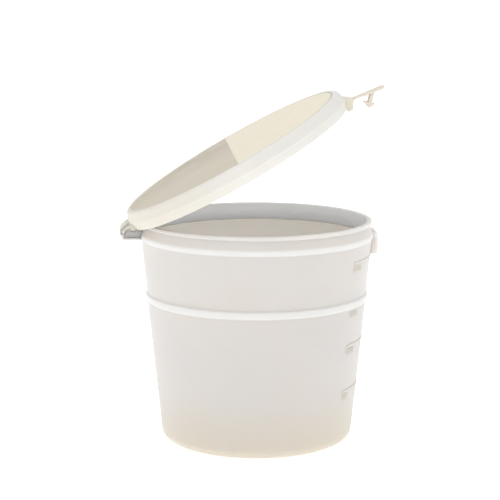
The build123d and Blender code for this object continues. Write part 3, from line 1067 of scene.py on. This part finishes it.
@dataclass
class Clasp:
    """The finger tab and its barb, straight out from the clasp's hinge. Places are (x, z) from that hinge."""

    pivot: Span
    width: float = 11.0
    length: float = 23.2
    thickness: float = 1.6
    neck: float = 7.0
    neck_thickness: float = 0.95
    neck_root: float = 0.75
    swell: Span = (-0.8, 0.6)
    sag: float = 0.15
    edge: float = 0.4
    end_round: float = 3.0
    tip_round: float = 0.2
    barb_place: float = 14.6
    barb_lean: float = 34.0
    barb_length: float = 11.4
    barb_width: float = 8.4
    barb_stem: float = 2.4
    barb_head: float = 3.4
    barb_edge: float = 0.3
    barb_tip: float = 0.5
    head_step: float = 0.01
    head_band: float = 0.6
    head_rounds: Span = (0.25, 0.3)
    reach_low: float = 3.2
    reach_high: float = 4.2

    def tab(self) -> Piece:
        """The tab: a thin neck that swells into an arm whose end is rounded in plan."""
        reach = self.length - self.tip_round
        x = np.concatenate([np.linspace(self.neck_root + self.tip_round, reach - self.end_round, 40),
                            reach - self.end_round * (1 - np.sin(np.linspace(0, math.pi / 2, 13)[1:-1]))])
        before, after = self.swell
        swell = np.clip((x - self.neck - before) / (after - before), 0, 1)
        swell = swell * swell * (3 - 2 * swell)
        thickness = self.neck_thickness + swell * (self.thickness - self.neck_thickness)
        middle = -swell * self.thickness * self.sag
        into = np.maximum(0, x - reach + self.end_round)
        width = self.width - 2 * (self.end_round - np.sqrt(self.end_round**2 - into**2))
        path = np.stack([self.pivot[0] + x, self.pivot[1] + middle], 1)
        return Piece("clasp_tab").add(bar(path, width, thickness, self.edge, self.tip_round))

    def hook(self) -> Piece:
        """The barb: a stem and an arrow head, carried along an axis that leans back towards the hinge."""
        lean = math.radians(self.barb_lean)
        axis = np.array([-math.sin(lean), -math.cos(lean)])
        side = np.array([-math.cos(lean), math.sin(lean)])
        shoulder = self.barb_length - self.barb_head
        half = self.barb_stem / 2
        head, band = shoulder + self.head_step, shoulder + self.head_band
        root_round, crown_round = self.head_rounds
        stations = rounded_chain([
            (0.0, half, 0), (shoulder, half, root_round), (head, self.reach_high, root_round),
            (band, self.reach_high, crown_round), (self.barb_length, self.barb_tip, 0),
        ], 0.8)
        other = np.interp(stations[:, 0], [0, shoulder, head, band, self.barb_length],
                          [half, half, self.reach_low, self.reach_low, self.barb_tip])
        middle = (stations[:, 1] - other) / 2
        path = np.array(self.pivot) + [self.barb_place, 0] + stations[:, :1] * axis + middle[:, None] * side
        across, up = section(np.full(len(path), self.barb_width), stations[:, 1] + other, self.barb_edge)
        place = path[:, None] + side * up[..., None]
        grid = np.stack([place[..., 0], across, place[..., 1]], 2)
        caps = grid.mean(1, keepdims=True) + 0 * grid
        return Piece("clasp_hook").add(np.concatenate([caps[:1], grid, caps[-1:]]))

    def build(self, dresser: Dresser, opening: Turn, drooping: Turn) -> None:
        """Makes the tab and its barb in their rest pose."""
        for piece, node in ((self.tab(), "clasp_arm"), (self.hook(), "clasp_barb")):
            made = piece.moved(drooping).moved(opening).build()
            dresser.dress(made, "clasp", Body.CLASP, Slot.LID, node)


# ---- Studio ----


@dataclass
class Studio:
    """A white table, a white room and soft lights, seen from a little above the rim."""

    eye: Triple = (-0.0817, -1.1034, 0.3262)
    heading: float = 4.0
    pitch: float = 9.97
    lens: float = 115.9
    table: float = 60.0
    table_drop: float = 0.01
    table_glow: float = 0.45
    room_light: float = 0.82
    box_side: float = 0.9
    box_power: float = 2.0
    key: Triple = (-0.5, -1.3, 1.1)
    overhead: Triple = (0.15, 0.1, 1.5)
    aim: Triple = (0.0, 0.0, 0.12)

    def camera(self) -> None:
        """Places the camera, looking along its heading and down by its pitch."""
        heading, pitch = math.radians(self.heading), math.radians(self.pitch)
        level = math.cos(pitch)
        aim = Vector((math.sin(heading) * level, math.cos(heading) * level, -math.sin(pitch)))
        camera = bpy.data.cameras.new("camera")
        camera.lens = self.lens
        thing = bpy.data.objects.new("camera", camera)
        thing.location = self.eye
        thing.rotation_euler = aim.to_track_quat("-Z", "Y").to_euler()
        bpy.context.scene.collection.objects.link(thing)
        bpy.context.scene.camera = thing

    def softbox(self, name: str, place: Triple) -> None:
        """An area light that faces the jar.

        Args:
            name: The light's name.
            place: Its middle, in metres.
        """
        light = bpy.data.lights.new(name, "AREA")
        light.size = self.box_side
        light.energy = self.box_power
        thing = bpy.data.objects.new(name, light)
        thing.location = place
        thing.rotation_euler = (Vector(self.aim) - Vector(place)).to_track_quat("-Z", "Y").to_euler()
        bpy.context.scene.collection.objects.link(thing)

    def floor(self) -> None:
        """The table: a square under the foot, bright enough to burn out to white."""
        graph = Graph("white_table")
        grain = graph.noise(graph.place(), 0.004, 2.0)
        shader = graph.node("ShaderNodeBsdfPrincipled", None, {
            "Base Color": graph.blend(grain, screen(246, 246, 245), screen(250, 250, 249)),
            "Roughness": 0.9,
            "Emission Color": (1, 1, 1, 1),
            "Emission Strength": self.table_glow,
        })
        half = self.table / MM
        side = np.array([-half, half])
        grid = np.stack([*np.meshgrid(side, side, indexing="ij"), np.full((2, 2), -self.table_drop)], 2)
        table = Piece("white_table_top").add(grid, True).build()
        table.data.materials.append(graph.finish(shader))

    def room(self) -> None:
        """The room's even white light."""
        world = bpy.data.worlds.new("white_room")
        world.use_nodes = True
        background = world.node_tree.nodes["Background"]
        background.inputs["Color"].default_value = (1, 1, 1, 1)
        background.inputs["Strength"].default_value = self.room_light
        bpy.context.scene.world = world

    def build(self) -> None:
        """Sets up the camera, the table and the lights, with an untoned display."""
        self.camera()
        self.floor()
        self.room()
        self.softbox("key", self.key)
        self.softbox("overhead", self.overhead)
        bpy.context.scene.view_settings.view_transform = "Standard"


def joint_named(name: str) -> dict[str, object]:
    """The frame's joint of that name."""
    return next(joint for joint in frame["joints"] if joint["name"] == name)


def pivot_of(joint: dict[str, object]) -> Span:
    """A joint's place in the XZ plane at rest, in millimetres."""
    return joint["pos_m"][0] / MM, joint["pos_m"][2] / MM


def main() -> None:
    """Builds the studio, the jar, the lid and the clasp, in that order.

    The lid's joint starts closed, so its lowest angle says how far it stands open at rest. The clasp's joint
    ends straight down, so its highest angle says how far it hangs at rest.
    """
    logging.basicConfig(level=logging.INFO, format="%(name)s: %(message)s")
    Studio().build()
    lid_joint, clasp_joint = joint_named("lid_hinge"), joint_named("clasp_hinge")
    hinge = pivot_of(lid_joint)
    opening = Turn(hinge, -lid_joint["range_deg"][0])
    dresser = Dresser(Finishes((hinge[0] * MM, hinge[1] * MM), opening.degrees))
    jar_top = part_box("jar_body")[1].z / MM
    loop_low, loop_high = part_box("catch_loop")
    Tub(jar_top).build(dresser)
    CatchLoop(loop_low.z / MM, loop_high.z / MM, loop_high.x / MM).build(dresser)
    Straps(hinge).build(dresser, opening)
    Lid(jar_top).build(dresser, opening)
    clasp_x, clasp_z = pivot_of(clasp_joint)
    closed = Turn(hinge, -opening.degrees)(np.array([clasp_x, 0, clasp_z]))
    clasp_hinge = (float(closed[0]), float(closed[2]))
    drooping = Turn(clasp_hinge, clasp_joint["range_deg"][1] - 90)
    Clasp(clasp_hinge).build(dresser, opening, drooping)


if __name__ == "__main__":
    main()
